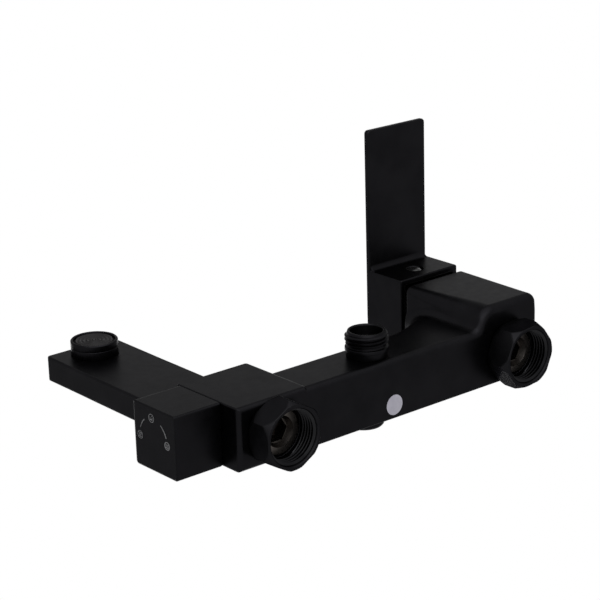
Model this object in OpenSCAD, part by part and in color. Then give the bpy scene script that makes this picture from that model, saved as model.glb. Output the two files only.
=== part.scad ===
// Wall mounted bath and shower mixer: crossbar body, flat spout, lever with a 35 mm ceramic
// cartridge, three way diverter knob, hose outlet below and riser outlet above.
// Millimetres, as installed: +Z up, +Y towards the wall, +X to the right seen from the front.
// The origin lies midway between the wall ends of the two union nuts, on the inlet axes.

/* [Body] */
// Distance between the two inlet axes
inlet_centres = 150; // [145:1:160]
// Distance from the wall ends of the union nuts to the back of the body
body_back = 14.4; // [14:0.1:18]
// Depth of the crossbar, wall to front
bar_depth = 28; // [28:1:34]
// Height of the crossbar
bar_height = 29.6; // [29:0.1:36]
// Height of the crossbar's centre above the inlet axes
bar_lift = 0.6; // [0:0.1:1]
// Radius of the crossbar's long edges
bar_edge = 3; // [1:0.5:4]
// Radius of the hollow sweep between the crossbar and the cartridge housing
sweep_radius = 41.4; // [35:0.1:48]

/* [Spout block] */
// Width of the spout block along the crossbar
block_width = 40.4; // [38:0.2:46]
// Depth of the spout block, wall to front
block_depth = 44.9; // [43:0.1:52]
// Height of the spout block and of the diverter knob
block_height = 30.6; // [30:0.2:36]
// Height of the spout block's centre above the inlet axes
block_lift = 0.5; // [0:0.1:1]
// Radius of the block's upright edges
block_edge = 3.2; // [1:0.2:4]

/* [Cartridge housing] */
// Width of the cartridge housing along the crossbar
housing_width = 40; // [40:0.5:46]
// Height of the cartridge housing, down from the top of the crossbar
housing_height = 40.4; // [40:0.2:48]
// Distance from the back of the body to the front of the housing
housing_depth = 53; // [52:0.5:60]
// Radius of the housing's long edges
housing_edge = 4; // [2:0.5:5]

/* [Spout] */
// Reach of the spout from the front of its block to the tip
spout_reach = 109.9; // [95:1:150]
// Thickness of the spout
spout_thick = 13; // [12.5:0.5:16]
// Height of the spout's underside above the inlet axes at the block
spout_bottom = 1; // [0:0.1:2]
// Drop of the spout's underside from block to tip
spout_droop = 0.8; // [0:0.1:2]
// Wall of the hollow spout
spout_wall = 2.5; // [1.5:0.1:3]
// Radius of the spout's tip corners
spout_corner = 3; // [1:0.5:5]
// Distance from the tip to the aerator's axis
aerator_inset = 13.4; // [13:0.1:20]
// Outer diameter of the aerator's rim
aerator_d = 23.8; // [22:0.2:26]
// Height of the aerator's rim below the inlet axes
aerator_drop = 7.3; // [6:0.1:9]
// Outer diameter of the aerator's thread
aerator_thread_d = 21.6; // [20:0.1:22]

/* [Lever] */
// Width of the lever's block and blade
lever_width = 39.3; // [36.5:0.1:40]
// Distance from the housing's front to the lever's rear face
lever_gap = 3.7; // [3:0.1:5]
// Depth of the lever's block, rear to front
lever_depth = 26.4; // [26:0.2:32]
// Height of the lever's underside below the inlet axes
lever_bottom = 27; // [26:0.1:30]
// Height of the lever's top above the inlet axes
lever_top = 14; // [12:0.1:16]
// Thickness of the blade
blade_thick = 3; // [2.5:0.1:4]
// Distance from the lever's underside to the blade's tip
blade_length = 73.6; // [55:1:90]
// Wall of the lever's hollow block
lever_wall = 3; // [2.5:0.1:3.2]
// Angle of the lever from closed to fully open
flow_angle = 18; // [12:1:20]

/* [Diverter knob] */
// Length of the diverter knob
knob_length = 25.3; // [24:0.1:32]
// Gap between the knob and the spout block
knob_gap = 0.5; // [0.4:0.1:1]
// Distance from the back of the body to the diverter's axis
knob_inset = 27.4; // [27:0.1:30]
// Wall of the hollow knob
knob_wall = 2.8; // [2:0.1:4]

/* [Outlets] */
// Distance of the hose outlet's axis from the middle, towards the spout
outlet_offset = 6.5; // [0:0.5:15]
// Distance of the riser outlet's axis from the middle, towards the spout
riser_offset = 9.2; // [0:0.1:15]
// Outer diameter of the hose thread
hose_thread_d = 20.955; // [20.5:0.005:21.5]
// Distance that the hose nipple stands out below the crossbar
hose_nipple_reach = 12.8; // [12:0.1:16]
// Bore of the hose nipple
hose_bore_d = 15.6; // [14:0.1:16]
// Outer diameter of the riser collar
riser_collar_d = 19.6; // [19:0.1:22]
// Distance that the riser collar stands above the crossbar
riser_collar_reach = 4.3; // [3:0.1:6]
// Minor diameter of the riser outlet's internal thread
riser_thread_d = 14.95; // [14.9:0.01:15.2]

/* [Union nuts] */
// Width across the flats of the union nuts
nut_flats = 30; // [30:1:34]
// Length of the union nuts
nut_length = 13.9; // [13:0.1:13.9]
// Minor diameter of the union nuts' internal thread
nut_thread_d = 24.117; // [24:0.001:24.2]
// Turn of the right nut's flats from those of the left nut
nut_turn = 24; // [0:1:60]
// Outer diameter of the inlet nipples' shank
nipple_d = 16.54; // [16:0.01:17]

/* [Hidden] */
$fn = 96;
e = 1;            // overshoot of every cut
seat = 0.06;      // radial clearance of a thread or a pressed-in piece
run = 0.1;        // radial clearance of a turning piece in its bore
free = 0.3;       // gap between pieces that move past each other
black = [0.07, 0.07, 0.075];
brass = [0.78, 0.62, 0.32];
nickel = [0.75, 0.74, 0.70];
plastic = [0.85, 0.85, 0.82];
ceramic = [0.93, 0.92, 0.88];
rubber = [0.12, 0.12, 0.12];

// Body planes
left_x = -inlet_centres / 2;
right_x = inlet_centres / 2;
back_y = -body_back;
bar_front = back_y - bar_depth;
bar_mid_y = back_y - bar_depth / 2;
bar_top = bar_lift + bar_height / 2;
bar_bottom = bar_lift - bar_height / 2;
block_front = back_y - block_depth;
block_left = left_x - block_width / 2;
block_right = left_x + block_width / 2;
housing_front = back_y - housing_depth;
housing_left = right_x - housing_width / 2;
housing_mid_z = bar_top - housing_height / 2;
sweep_drop = bar_front - housing_front;
sweep_run = sqrt(2 * sweep_radius * sweep_drop - sweep_drop * sweep_drop);

// Inlets
inlet_socket_r = nipple_d / 2 + seat;
inlet_socket_depth = 10;
inlet_seal = 1.1;
nut_lip = 1.8;
nut_bore_r = nipple_d / 2 + 0.35;
flange_thick = 1.5;
flange_r = nut_thread_d / 2 - 1.5;
nut_back = -nut_length;
flange_back = nut_back + nut_lip + free;
flange_face = flange_back + flange_thick;
nut_chamfer = 1.2;

// Waterways
hot_y = back_y - 6.1;
mixed_y = back_y - 21.9;
mid_z = 0.8;
main_r = 3.2;
branch_r = 2.4;
branch_gap = 1.8;
outlet_x = -outlet_offset;
riser_x = -riser_offset;
socket_r = 9;
hose_socket_top = mid_z - main_r - branch_gap;
riser_socket_bottom = mid_z + main_r + branch_gap;
hose_way_z = hose_socket_top - branch_r - 0.2;
riser_way_z = riser_socket_bottom + branch_r + 0.2;

// Cartridge, counted from its seat towards the front
cart_x = right_x;
cart_z = housing_mid_z;
seat_y = housing_front + 29.4;
cartridge_r = 17.5;
socket_wall_r = cartridge_r + run;
base_gap = 0.3;
base_thick = 4;
disc_thick = 4;
disc_film = 0.05;
base_back = seat_y - base_gap;
base_front = base_back - base_thick;
fixed_front = base_front - disc_thick;
moving_back = fixed_front - disc_film;
moving_front = moving_back - disc_thick;
carrier_front = moving_front - 9.2;
flange_y = carrier_front - 0.2;
rotor_flange = 1.5;
shell_wall_y = flange_y - rotor_flange - 0.2;
shell_wall = 1.6;
shoulder_y = shell_wall_y - shell_wall;
cavity_r = 15.2;
neck_r = 12.4;
rotor_r = 10.5;
nut_ring_r = cartridge_r + 0.9;
nut_ring_inner = neck_r + 0.4;
nut_ring_front = housing_front + 0.4;
collar_front = housing_front - 1.8;
collar_r = nut_ring_r - 3.1;
collar_gap = 0.35;
pivot_y = housing_front - 1.1;
neck_front = pivot_y - 4.5;
rotor_front = neck_front + 0.2;
ball_y = carrier_front + 2;
lever_arm = ball_y - pivot_y;
ball_r = 3;
shank_r = 2.2;
slot_half = 3.75;
slot_reach = 8;
stem_half = 3.6;
pin_r = 1.6;
pin_half = 9.5;
disc_rest = 1.7;
disc_r = 11.8;
carrier_r = 12.5;
carrier_flat = 11.2;
tongue_r = 14.9;
tongue_half = 4.5;
port_side = 7;
port_up = 3.8;
port_down = 6.6;
port_r = 2.6;
hot_drop_x = housing_left - 3;
mixed_drop_x = housing_left + 2;
hot_cross_y = back_y - 15.2;
cold_port_z = cart_z + port_up;
out_port_z = cart_z - port_down;

// Lever
lever_rear = housing_front - lever_gap;
lever_front = lever_rear - lever_depth;
lever_x0 = cart_x - lever_width / 2;
blade_fillet = 3;
blade_corner = 1.8;
relief = housing_front - pivot_y - 2 * free;
boss_half = 7.5;
boss_rear = pivot_y - 8;
socket_gap = 0.1;
stem_end = lever_front + 7.5;
screw_y = lever_rear - 10.9;
screw_r = 2.5;
plug_r = 4.1;

// Spout
spout_top = spout_bottom + spout_thick;
spout_mid_z = spout_bottom + spout_thick / 2;
tip_y = block_front - spout_reach;
aerator_y = tip_y + aerator_inset;
aerator_seat_z = spout_bottom - spout_droop * (spout_reach - aerator_inset) / spout_reach + 0.15;
aerator_thread_top = aerator_seat_z + 6;
aerator_socket_top = spout_top - spout_droop - spout_wall + 0.3;
gasket_thick = 1.2;
spigot_r = 5.5;
spigot_bore = 3.8;
spigot_length = 6;

// Diverter
knob_x1 = block_left - knob_gap;
knob_x0 = knob_x1 - knob_length;
knob_y = back_y - knob_inset;
knob_z = block_lift;
chamber_r = 11;
chamber_end = block_left + 33.2;
sleeve_end = chamber_end - 1.5;
sleeve_start = block_left + 6.2;
nut_recess_r = 12.2;
land_r = chamber_r - run;
groove_r = 9.4;
ways_x = [left_x + 7, left_x, left_x - 7];
way_half = 2.2;
plug_bore = 7;
plug_outer = plug_bore - run;
plug_x0 = sleeve_start + 1.5;
seal_pitch = 3.5;
stem_r = 4;
stem_tip = knob_x0 + 9;
stem_square = 6;
adaptor_r = 5.95;
mark_circle = 10;
mark_thick = 0.12;

// Cylinder along X, Y or Z between two ends
module rod_x(x0, x1, y, z, r) {
    translate([min(x0, x1), y, z]) rotate([0, 90, 0]) cylinder(h = abs(x1 - x0), r = r);
}
module rod_y(y0, y1, x, z, r) {
    translate([x, max(y0, y1), z]) rotate([90, 0, 0]) cylinder(h = abs(y1 - y0), r = r);
}
module rod_z(z0, z1, x, y, r) {
    translate([x, y, min(z0, z1)]) cylinder(h = abs(z1 - z0), r = r);
}
// Ring along X or Y between two ends
module ring_x(x0, x1, y, z, outer, inner) {
    difference() {
        rod_x(x0, x1, y, z, outer);
        rod_x(min(x0, x1) - e, max(x0, x1) + e, y, z, inner);
    }
}
module ring_y(y0, y1, x, z, outer, inner) {
    difference() {
        rod_y(y0, y1, x, z, outer);
        rod_y(min(y0, y1) - e, max(y0, y1) + e, x, z, inner);
    }
}
// Box between two corners
module box(x0, x1, y0, y1, z0, z1) {
    translate([x0, y0, z0]) cube([x1 - x0, y1 - y0, z1 - z0]);
}
// Rectangle with round corners, from its low corner
module round_rect(w, h, r) {
    translate([r, 0]) square([w - 2 * r, h]);
    translate([0, r]) square([w, h - 2 * r]);
    for (x = [r, w - r], y = [r, h - r]) translate([x, y]) circle(r);
}
// Bars with round long edges, along X, Y or Z
module bar_x(x0, x1, y0, y1, z0, z1, r) {
    translate([x0, 0, 0]) rotate([90, 0, 90]) linear_extrude(x1 - x0)
        translate([y0, z0]) round_rect(y1 - y0, z1 - z0, r);
}
module bar_y(x0, x1, y0, y1, z0, z1, r) {
    translate([0, y1, 0]) rotate([90, 0, 0]) linear_extrude(y1 - y0)
        translate([x0, z0]) round_rect(x1 - x0, z1 - z0, r);
}
module bar_z(x0, x1, y0, y1, z0, z1, r) {
    translate([0, 0, z0]) linear_extrude(z1 - z0)
        translate([x0, y0]) round_rect(x1 - x0, y1 - y0, r);
}

// Body: crossbar, spout block, cartridge housing and sweep in one casting
module casting_outside() {
    bar_x(left_x, right_x, bar_front, back_y, bar_bottom, bar_top, bar_edge);
    bar_z(block_left, block_right, block_front, back_y,
        block_lift - block_height / 2, block_lift + block_height / 2, block_edge);
    bar_y(housing_left, right_x + housing_width / 2, housing_front, back_y,
        bar_top - housing_height, bar_top, housing_edge);
    translate([0, 0, bar_bottom]) linear_extrude(bar_height) difference() {
        translate([housing_left - sweep_run, housing_front])
            square([sweep_run + housing_edge, sweep_drop + bar_edge]);
        translate([housing_left - sweep_run, bar_front - sweep_radius]) circle(sweep_radius, $fn = 180);
    }
}
module inlet_socket(x) {
    rod_y(back_y + e, back_y - inlet_socket_depth, x, 0, inlet_socket_r);
}
module cartridge_socket() {
    rod_y(seat_y, housing_front - e, cart_x, cart_z, socket_wall_r);
    rod_y(shoulder_y + 0.1, housing_front - e, cart_x, cart_z, nut_ring_r + seat);
}
module hot_way() {
    rod_x(left_x + 5, hot_drop_x, hot_y, mid_z, main_r);
    rod_y(hot_y, hot_cross_y, hot_drop_x, mid_z, main_r - 0.4);
    rod_x(hot_drop_x, cart_x - port_side, hot_cross_y, mid_z, main_r - 0.4);
    rod_y(hot_cross_y, seat_y - e, cart_x - port_side, cold_port_z, port_r);
}
module cold_way() {
    rod_y(back_y - inlet_socket_depth + e, seat_y - e, cart_x + port_side, cold_port_z, port_r);
}
module mixed_way() {
    rod_x(chamber_end - e, mixed_drop_x, mixed_y, mid_z, main_r);
    rod_z(mid_z, out_port_z, mixed_drop_x, mixed_y, main_r - 0.4);
    rod_x(mixed_drop_x, cart_x, mixed_y, out_port_z, main_r - 0.4);
    rod_y(mixed_y, seat_y - e, cart_x, out_port_z, port_r);
}
module outlet_ways() {
    rod_x(ways_x[0], outlet_x, bar_mid_y, hose_way_z, branch_r);
    rod_y(bar_mid_y, knob_y + 4, ways_x[0], hose_way_z, way_half - 0.2);
    rod_x(ways_x[2], riser_x, bar_mid_y, riser_way_z, branch_r);
    rod_y(bar_mid_y, knob_y + 4, ways_x[2], riser_way_z, way_half - 0.2);
    rod_z(bar_bottom - e, hose_socket_top, outlet_x, bar_mid_y, socket_r);
    rod_z(riser_socket_bottom, bar_top + e, riser_x, bar_mid_y, socket_r);
    rod_y(block_front - e, knob_y - 6, left_x, spout_mid_z, spigot_r + seat);
}
module diverter_chamber() {
    rod_x(block_left - e, chamber_end, knob_y, knob_z, chamber_r);
    rod_x(block_left - e, sleeve_start, knob_y, knob_z, nut_recess_r);
}
module body_casting() {
    color(black) difference() {
        casting_outside();
        inlet_socket(left_x);
        inlet_socket(right_x);
        cartridge_socket();
        hot_way();
        cold_way();
        mixed_way();
        outlet_ways();
        diverter_chamber();
    }
}
module riser_collar() {
    color(black) difference() {
        union() {
            rod_z(riser_way_z + branch_r + 0.2, bar_top, riser_x, bar_mid_y, socket_r - seat);
            rod_z(bar_top, bar_top + riser_collar_reach, riser_x, bar_mid_y, riser_collar_d / 2);
        }
        rod_z(0, bar_top + riser_collar_reach + e, riser_x, bar_mid_y, riser_thread_d / 2);
    }
}
module label_disc() {
    color("white") rod_y(back_y, back_y + 0.15, -2, 8.2, 5);
}

// Spout and aerator
module spout_profile(y0, y1, inset) {
    slope = spout_droop / spout_reach;
    polygon([
        [y0, spout_bottom + inset - slope * (block_front - y0)],
        [y1, spout_bottom + inset - slope * (block_front - y1)],
        [y1, spout_top - inset - slope * (block_front - y1)],
        [y0, spout_top - inset - slope * (block_front - y0)]
    ]);
}
module spout_bar(x0, x1, y0, y1, inset) {
    translate([x0, 0, 0]) rotate([90, 0, 90]) linear_extrude(x1 - x0) spout_profile(y0, y1, inset);
}
module spout_outside() {
    intersection() {
        spout_bar(block_left, block_right, tip_y, block_front, 0);
        bar_z(block_left, block_right, tip_y, block_front + 2 * spout_corner,
            spout_bottom - 2 * spout_droop - e, spout_top + e, spout_corner);
    }
}
module spout() {
    color(black) difference() {
        union() {
            spout_outside();
            rod_y(block_front + spigot_length, block_front - spout_wall, left_x, spout_mid_z, spigot_r);
        }
        spout_bar(block_left + spout_wall, block_right - spout_wall, tip_y + spout_wall,
            block_front - spout_wall, spout_wall);
        rod_y(block_front + spigot_length + e, block_front - spout_wall - e, left_x, spout_mid_z,
            spigot_bore);
        rod_z(spout_bottom - spout_droop - e, aerator_socket_top, left_x, aerator_y,
            aerator_thread_d / 2 + seat);
        rod_z(spout_bottom - spout_droop - e, aerator_seat_z, left_x, aerator_y,
            aerator_d / 2 + seat);
    }
}
module aerator_housing() {
    outer = aerator_d / 2;
    rim = outer - 1.5;
    color(black) translate([left_x, aerator_y, -aerator_drop]) difference() {
        union() {
            cylinder(h = aerator_drop + aerator_seat_z, r = outer);
            cylinder(h = aerator_drop + aerator_thread_top, r = aerator_thread_d / 2);
        }
        translate([0, 0, -e]) cylinder(h = e + 1.6, r = rim);
        translate([0, 0, 1.6 - e / 2]) cylinder(h = 40, r = aerator_thread_d / 2 - 1.2);
    }
}
module aerator_insert() {
    insert_r = aerator_thread_d / 2 - 1.2 - seat;
    plate = 2.4;
    jet_circle = 6.4;
    color(plastic) translate([left_x, aerator_y, -aerator_drop]) difference() {
        union() {
            translate([0, 0, 1]) cylinder(h = aerator_thread_top + aerator_drop - 1, r = insert_r);
            for (ring = [1:5]) rotate_extrude()
                translate([ring * insert_r / 5 - 1.2, 0.4]) square([0.9, 0.8]);
        }
        translate([0, 0, plate]) cylinder(h = 40, r = insert_r - 1.4);
        for (jet = [0:11]) rotate(jet * 30) translate([jet_circle, 0, 0]) cylinder(h = plate + e, r = 0.7);
    }
}
module aerator_gasket() {
    color(rubber) translate([left_x, aerator_y, aerator_thread_top]) difference() {
        cylinder(h = gasket_thick, r = aerator_thread_d / 2 - 0.1);
        translate([0, 0, -e]) cylinder(h = gasket_thick + 2 * e, r = aerator_thread_d / 2 - 3);
    }
}

// Hose outlet
module hose_nipple() {
    thread_r = hose_thread_d / 2;
    tip = bar_bottom - hose_nipple_reach;
    thread_start = tip + 6.6;
    flange_top = thread_start + 3;
    flange_low = thread_start + 1.2;
    color(black) translate([outlet_x, bar_mid_y, 0]) difference() {
        rotate_extrude() polygon([
            [0, hose_way_z - branch_r - 0.2], [socket_r - seat, hose_way_z - branch_r - 0.2],
            [socket_r - seat, bar_bottom - inlet_seal], [thread_r - 0.6, bar_bottom - inlet_seal],
            [thread_r - 0.6, flange_top], [thread_r + 0.1, flange_top],
            [thread_r + 0.1, flange_low], [thread_r - 1.3, flange_low],
            [thread_r - 1.3, thread_start], [thread_r, thread_start],
            [thread_r, tip + 0.9], [thread_r - 0.9, tip], [0, tip]
        ]);
        translate([0, 0, tip - e]) cylinder(h = hose_nipple_reach - 0.9 + e, r = hose_bore_d / 2);
        translate([0, 0, tip]) cylinder(h = 40, r = hose_bore_d / 2 - 1.8);
    }
}
module hose_seal() {
    color(rubber) translate([outlet_x, bar_mid_y, bar_bottom - inlet_seal]) difference() {
        cylinder(h = inlet_seal, r = hose_thread_d / 2 - 0.9);
        translate([0, 0, -e]) cylinder(h = inlet_seal + 2 * e, r = socket_r);
    }
}
module check_valve() {
    top = bar_bottom - 0.9;
    length = 6.5;
    color(rubber) translate([outlet_x, bar_mid_y, top - length]) difference() {
        cylinder(h = length, r = hose_bore_d / 2 - seat);
        translate([0, 0, 1.6]) cylinder(h = length, r = hose_bore_d / 2 - 1.8);
        for (hole = [0:5]) rotate(hole * 60) translate([3.9, 0, -e]) cylinder(h = length, r = 1.4);
    }
}

// Inlets: captive union nuts on screwed nipples
module nipple_shape() {
    ring_r = 7.5;
    hex_flats = 10.4;
    cone_depth = 2.7;
    root = back_y - inlet_socket_depth + inlet_seal;
    color(nickel) difference() {
        union() {
            rod_y(flange_face, root, 0, 0, nipple_d / 2);
            rod_y(flange_face, flange_back, 0, 0, flange_r);
        }
        translate([0, flange_face, 0]) rotate([90, 0, 0]) rotate_extrude()
            polygon([[0, -e], [ring_r, -e], [ring_r, 0], [6, cone_depth], [0, cone_depth]]);
        translate([0, flange_face, 0]) rotate([90, 0, 0])
            cylinder(h = 9.5, r = hex_flats / sqrt(3), $fn = 6);
        rod_y(flange_face, root - e, 0, 0, hex_flats / 2 - 0.4);
    }
}
module inlet_nipple_left() {
    translate([left_x, 0, 0]) nipple_shape();
}
module inlet_nipple_right() {
    translate([right_x, 0, 0]) nipple_shape();
}
module inlet_seals() {
    floor_y = back_y - inlet_socket_depth;
    color(rubber) for (x = [left_x, right_x])
        ring_y(floor_y, floor_y + inlet_seal, x, 0, nipple_d / 2 - 0.1, 5.4);
}
module nut_shape() {
    corner_r = nut_flats / sqrt(3);
    thread_r = nut_thread_d / 2;
    blend = 1.6;
    color(black) difference() {
        intersection() {
            rod_hex(corner_r);
            translate([0, nut_back, 0]) rotate([-90, 0, 0]) rotate_extrude() polygon([
                [0, 0], [corner_r - blend, 0], [corner_r, blend * 0.6],
                [corner_r, nut_length - blend * 0.6], [corner_r - blend, nut_length], [0, nut_length]
            ]);
        }
        rod_y(nut_back - e, e, 0, 0, nut_bore_r);
        rod_y(nut_back + nut_lip, e, 0, 0, thread_r);
        rod_y(nut_back + nut_lip, flange_face + 0.1, 0, 0, thread_r + 0.9);
        translate([0, e, 0]) rotate([90, 0, 0]) rotate_extrude()
            polygon([[0, 0], [thread_r + nut_chamfer + e, 0], [thread_r, nut_chamfer + e], [0, nut_chamfer + e]]);
    }
}
module rod_hex(r) {
    rotate([90, 30, 0]) cylinder(h = nut_length, r = r, $fn = 6);
}
module union_nut_left() {
    translate([left_x, 0, 0]) nut_shape();
}
module union_nut_right() {
    translate([right_x, 0, 0]) rotate([0, -nut_turn, 0]) nut_shape();
}

// Mixing cartridge
module at_cartridge() {
    translate([cart_x, 0, cart_z]) children();
}
module port_holes(y0, y1, r) {
    rod_y(y0, y1, -port_side, port_up, r);
    rod_y(y0, y1, port_side, port_up, r);
    rod_y(y0, y1, 0, -port_down, r);
}
module cartridge_shell() {
    color(plastic) at_cartridge() difference() {
        union() {
            rod_y(base_back, shoulder_y, 0, 0, cartridge_r);
            rod_y(base_back, neck_front, 0, 0, neck_r);
        }
        rod_y(base_back + e, shell_wall_y, 0, 0, cavity_r);
        rod_y(base_back + e, neck_front - e, 0, 0, rotor_r + run);
    }
}
module cartridge_base() {
    color("dimgray") at_cartridge() difference() {
        rod_y(base_back, base_front, 0, 0, cavity_r - seat);
        port_holes(base_back + e, base_front - e, port_r);
        port_holes(base_back + e, base_back - 1, port_r + 0.9);
    }
}
module port_seals() {
    color(rubber) at_cartridge() difference() {
        port_holes(seat_y, base_back - 1, port_r + 0.85);
        port_holes(seat_y + e, base_back - 1 - e, port_r);
    }
}
module fixed_disc() {
    color(ceramic) at_cartridge() difference() {
        rod_y(base_front, fixed_front, 0, 0, cavity_r - seat);
        port_holes(base_front + e, fixed_front - e, port_r);
    }
}
module moving_disc() {
    color(ceramic) at_cartridge() translate([0, 0, disc_rest]) difference() {
        rod_y(moving_back, moving_front, 0, 0, disc_r);
        rod_y(moving_back + e, moving_back - disc_thick / 2, 0, -2, 6.5);
    }
}
module disc_carrier() {
    color("steelblue") at_cartridge() translate([0, 0, disc_rest]) difference() {
        intersection() {
            rod_y(moving_front, carrier_front, 0, 0, carrier_r);
            box(-carrier_flat, carrier_flat, carrier_front - e, moving_front + e, -20, 20);
        }
        rod_y(carrier_front - e, ball_y + ball_r + 0.9, 0, -disc_rest, ball_r + 0.4);
    }
}
module cartridge_rotor() {
    color("gainsboro") at_cartridge() difference() {
        union() {
            rod_y(flange_y, rotor_front, 0, 0, rotor_r);
            rod_y(flange_y, flange_y - rotor_flange, 0, 0, tongue_r);
            intersection() {
                rod_y(moving_front - 0.3, flange_y, 0, 0, tongue_r);
                union() {
                    box(carrier_flat + 0.2, 20, flange_y, moving_front - 0.3, -tongue_half, tongue_half);
                    box(-20, -carrier_flat - 0.2, flange_y, moving_front - 0.3, -tongue_half, tongue_half);
                }
            }
        }
        box(-slot_half, slot_half, rotor_front - e, flange_y + e, -slot_reach, slot_reach);
        rod_x(-pin_half, pin_half, pivot_y, 0, pin_r + 0.05);
    }
}
module pivot_pin() {
    color("silver") at_cartridge() rod_x(-pin_half, pin_half, pivot_y, 0, pin_r);
}
module lever_stem() {
    hub = 4;
    color("silver") at_cartridge() difference() {
        union() {
            box(-stem_half, stem_half, stem_end, pivot_y + hub, -stem_half, stem_half);
            rod_y(pivot_y + hub, ball_y, 0, 0, shank_r);
            translate([0, ball_y, 0]) sphere(ball_r);
        }
        rod_x(-stem_half - e, stem_half + e, pivot_y, 0, pin_r + run);
    }
}
module cartridge_nut() {
    color(brass) at_cartridge() difference() {
        ring_y(shoulder_y, nut_ring_front, 0, 0, nut_ring_r, nut_ring_inner);
        for (turn = [0:5]) rotate([0, turn * 60, 0])
            box(collar_r + 0.3, nut_ring_r + e, nut_ring_front - e, nut_ring_front + 2, -1.5, 1.5);
    }
}
module cover_collar() {
    color(black) at_cartridge() ring_y(nut_ring_front, collar_front, 0, 0, collar_r, neck_r + 0.2);
}

// Lever
module lever_relief() {
    translate([0, pivot_y, 0]) rotate([flow_angle, 0, 0]) translate([-60, relief, -60]) cube([120, 60, 120]);
}
module blade_outline() {
    round_rect(lever_width, blade_length + 2 * blade_corner, blade_corner);
}
module lever_handle() {
    low = -lever_bottom - cart_z;
    high = lever_top - cart_z;
    half = lever_width / 2;
    color(black) at_cartridge() difference() {
        union() {
            difference() {
                box(-half, half, lever_front, lever_rear, low, high);
                box(-half + lever_wall, half - lever_wall, lever_front + blade_thick + 1, lever_rear + e,
                    low + lever_wall, high - lever_wall);
            }
            translate([-half, lever_front + blade_thick, low - blade_length]) rotate([90, 0, 0])
                linear_extrude(blade_thick) blade_outline();
            difference() {
                box(-half, half, lever_front + blade_thick - e, lever_front + blade_thick + blade_fillet,
                    low - blade_fillet, low + e);
                rod_x(-half - e, half + e, lever_front + blade_thick + blade_fillet,
                    low - blade_fillet, blade_fillet);
            }
            box(-boss_half, boss_half, lever_front + blade_thick, boss_rear, -boss_half, boss_half);
        }
        box(-stem_half - socket_gap, stem_half + socket_gap, stem_end - 0.5, boss_rear + e,
            -stem_half - socket_gap, stem_half + socket_gap);
        rod_z(-boss_half - e, 0, 0, screw_y, screw_r + seat);
        rod_z(low - e, low + lever_wall + e, 0, screw_y, plug_r + seat);
        rod_y(lever_rear + e, lever_rear - 4, 0, 0, collar_r + collar_gap);
        lever_relief();
    }
}
module set_screw() {
    color("silver") at_cartridge() difference() {
        rod_z(-boss_half, -stem_half, 0, screw_y, screw_r);
        translate([0, screw_y, -boss_half - e]) cylinder(h = e + 2, r = 1.4, $fn = 6);
    }
}
module screw_plug() {
    low = -lever_bottom - cart_z;
    color(rubber) at_cartridge() rod_z(low + 0.2, low + lever_wall, 0, screw_y, plug_r);
}

// Three way diverter
module at_diverter() {
    translate([0, knob_y, knob_z]) children();
}
module diverter_sleeve() {
    color(brass) at_diverter() difference() {
        rod_x(sleeve_start, sleeve_end, 0, 0, land_r);
        rod_x(sleeve_start - e, sleeve_end + e, 0, 0, plug_bore);
        for (x = ways_x) ring_x(x - way_half, x + way_half, 0, 0, land_r + e, groove_r);
        for (x = concat([ways_x[0] + seal_pitch], [for (way = ways_x) way - seal_pitch]))
            ring_x(x - 0.9, x + 0.9, 0, 0, land_r + e, groove_r - 0.2);
        rod_z(-groove_r - e, 0, ways_x[0], 0, way_half - 0.2);
        rod_y(-groove_r - e, 0, ways_x[1], 0, way_half);
        rod_z(0, groove_r + e, ways_x[2], 0, way_half - 0.2);
    }
}
module diverter_seals() {
    color(rubber) at_diverter() for (x = concat([ways_x[0] + seal_pitch], [for (way = ways_x) way - seal_pitch]))
        translate([x, 0, 0]) rotate([0, 90, 0]) rotate_extrude() translate([groove_r + 0.65, 0]) circle(0.8);
}
module diverter_plug() {
    color("gainsboro") at_diverter() difference() {
        rod_x(plug_x0, sleeve_end - 0.3, 0, 0, plug_outer);
        rod_x(ways_x[2] - 4, sleeve_end + e, 0, 0, plug_outer - 2.3);
        box(ways_x[2] - way_half, ways_x[0] + way_half, -plug_outer - e, 0, -1.9, 1.9);
    }
}
module diverter_stem() {
    color(brass) at_diverter() {
        rod_x(sleeve_start + 0.3, plug_x0, 0, 0, plug_outer);
        rod_x(knob_x1 - 4, sleeve_start + 0.3, 0, 0, stem_r);
        box(stem_tip, knob_x1 - 4, -stem_square / 2, stem_square / 2, -stem_square / 2, stem_square / 2);
    }
}
module diverter_nut() {
    color(brass) at_diverter()
        ring_x(block_left + 0.3, sleeve_start, 0, 0, nut_recess_r - seat, stem_r + run);
}
module knob_adaptor() {
    half = stem_square / 2 + 0.05;
    color(plastic) at_diverter() difference() {
        rod_x(knob_x0 + 4, knob_x1 - 5, 0, 0, adaptor_r);
        box(knob_x0 + 5, knob_x1 - 4, -half, half, -half, half);
    }
}
module diverter_knob() {
    half = block_height / 2;
    inner = half - knob_wall;
    color(black) at_diverter() difference() {
        bar_x(knob_x0, knob_x1, -half, half, -half, half, 0.8);
        difference() {
            box(knob_x0 + 4, knob_x1 + e, -inner, inner, -inner, inner);
            rod_x(knob_x0 + 3, knob_x1 - 5, 0, 0, adaptor_r + 2);
        }
        rod_x(knob_x0 + 4, knob_x1, 0, 0, adaptor_r + seat);
    }
}
module knob_marks() {
    color("silver") at_diverter() {
        for (turn = [0, 90, 180]) rotate([turn, 0, 0]) translate([0, -mark_circle, 0])
            ring_x(knob_x0 - mark_thick, knob_x0, 0, 0, 1.9, 1.4);
        for (turn = [25, 37, 49, 115, 127, 139]) rotate([turn, 0, 0]) translate([0, -mark_circle, 0])
            rod_x(knob_x0 - mark_thick, knob_x0, 0, 0, 0.5);
    }
}

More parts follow.
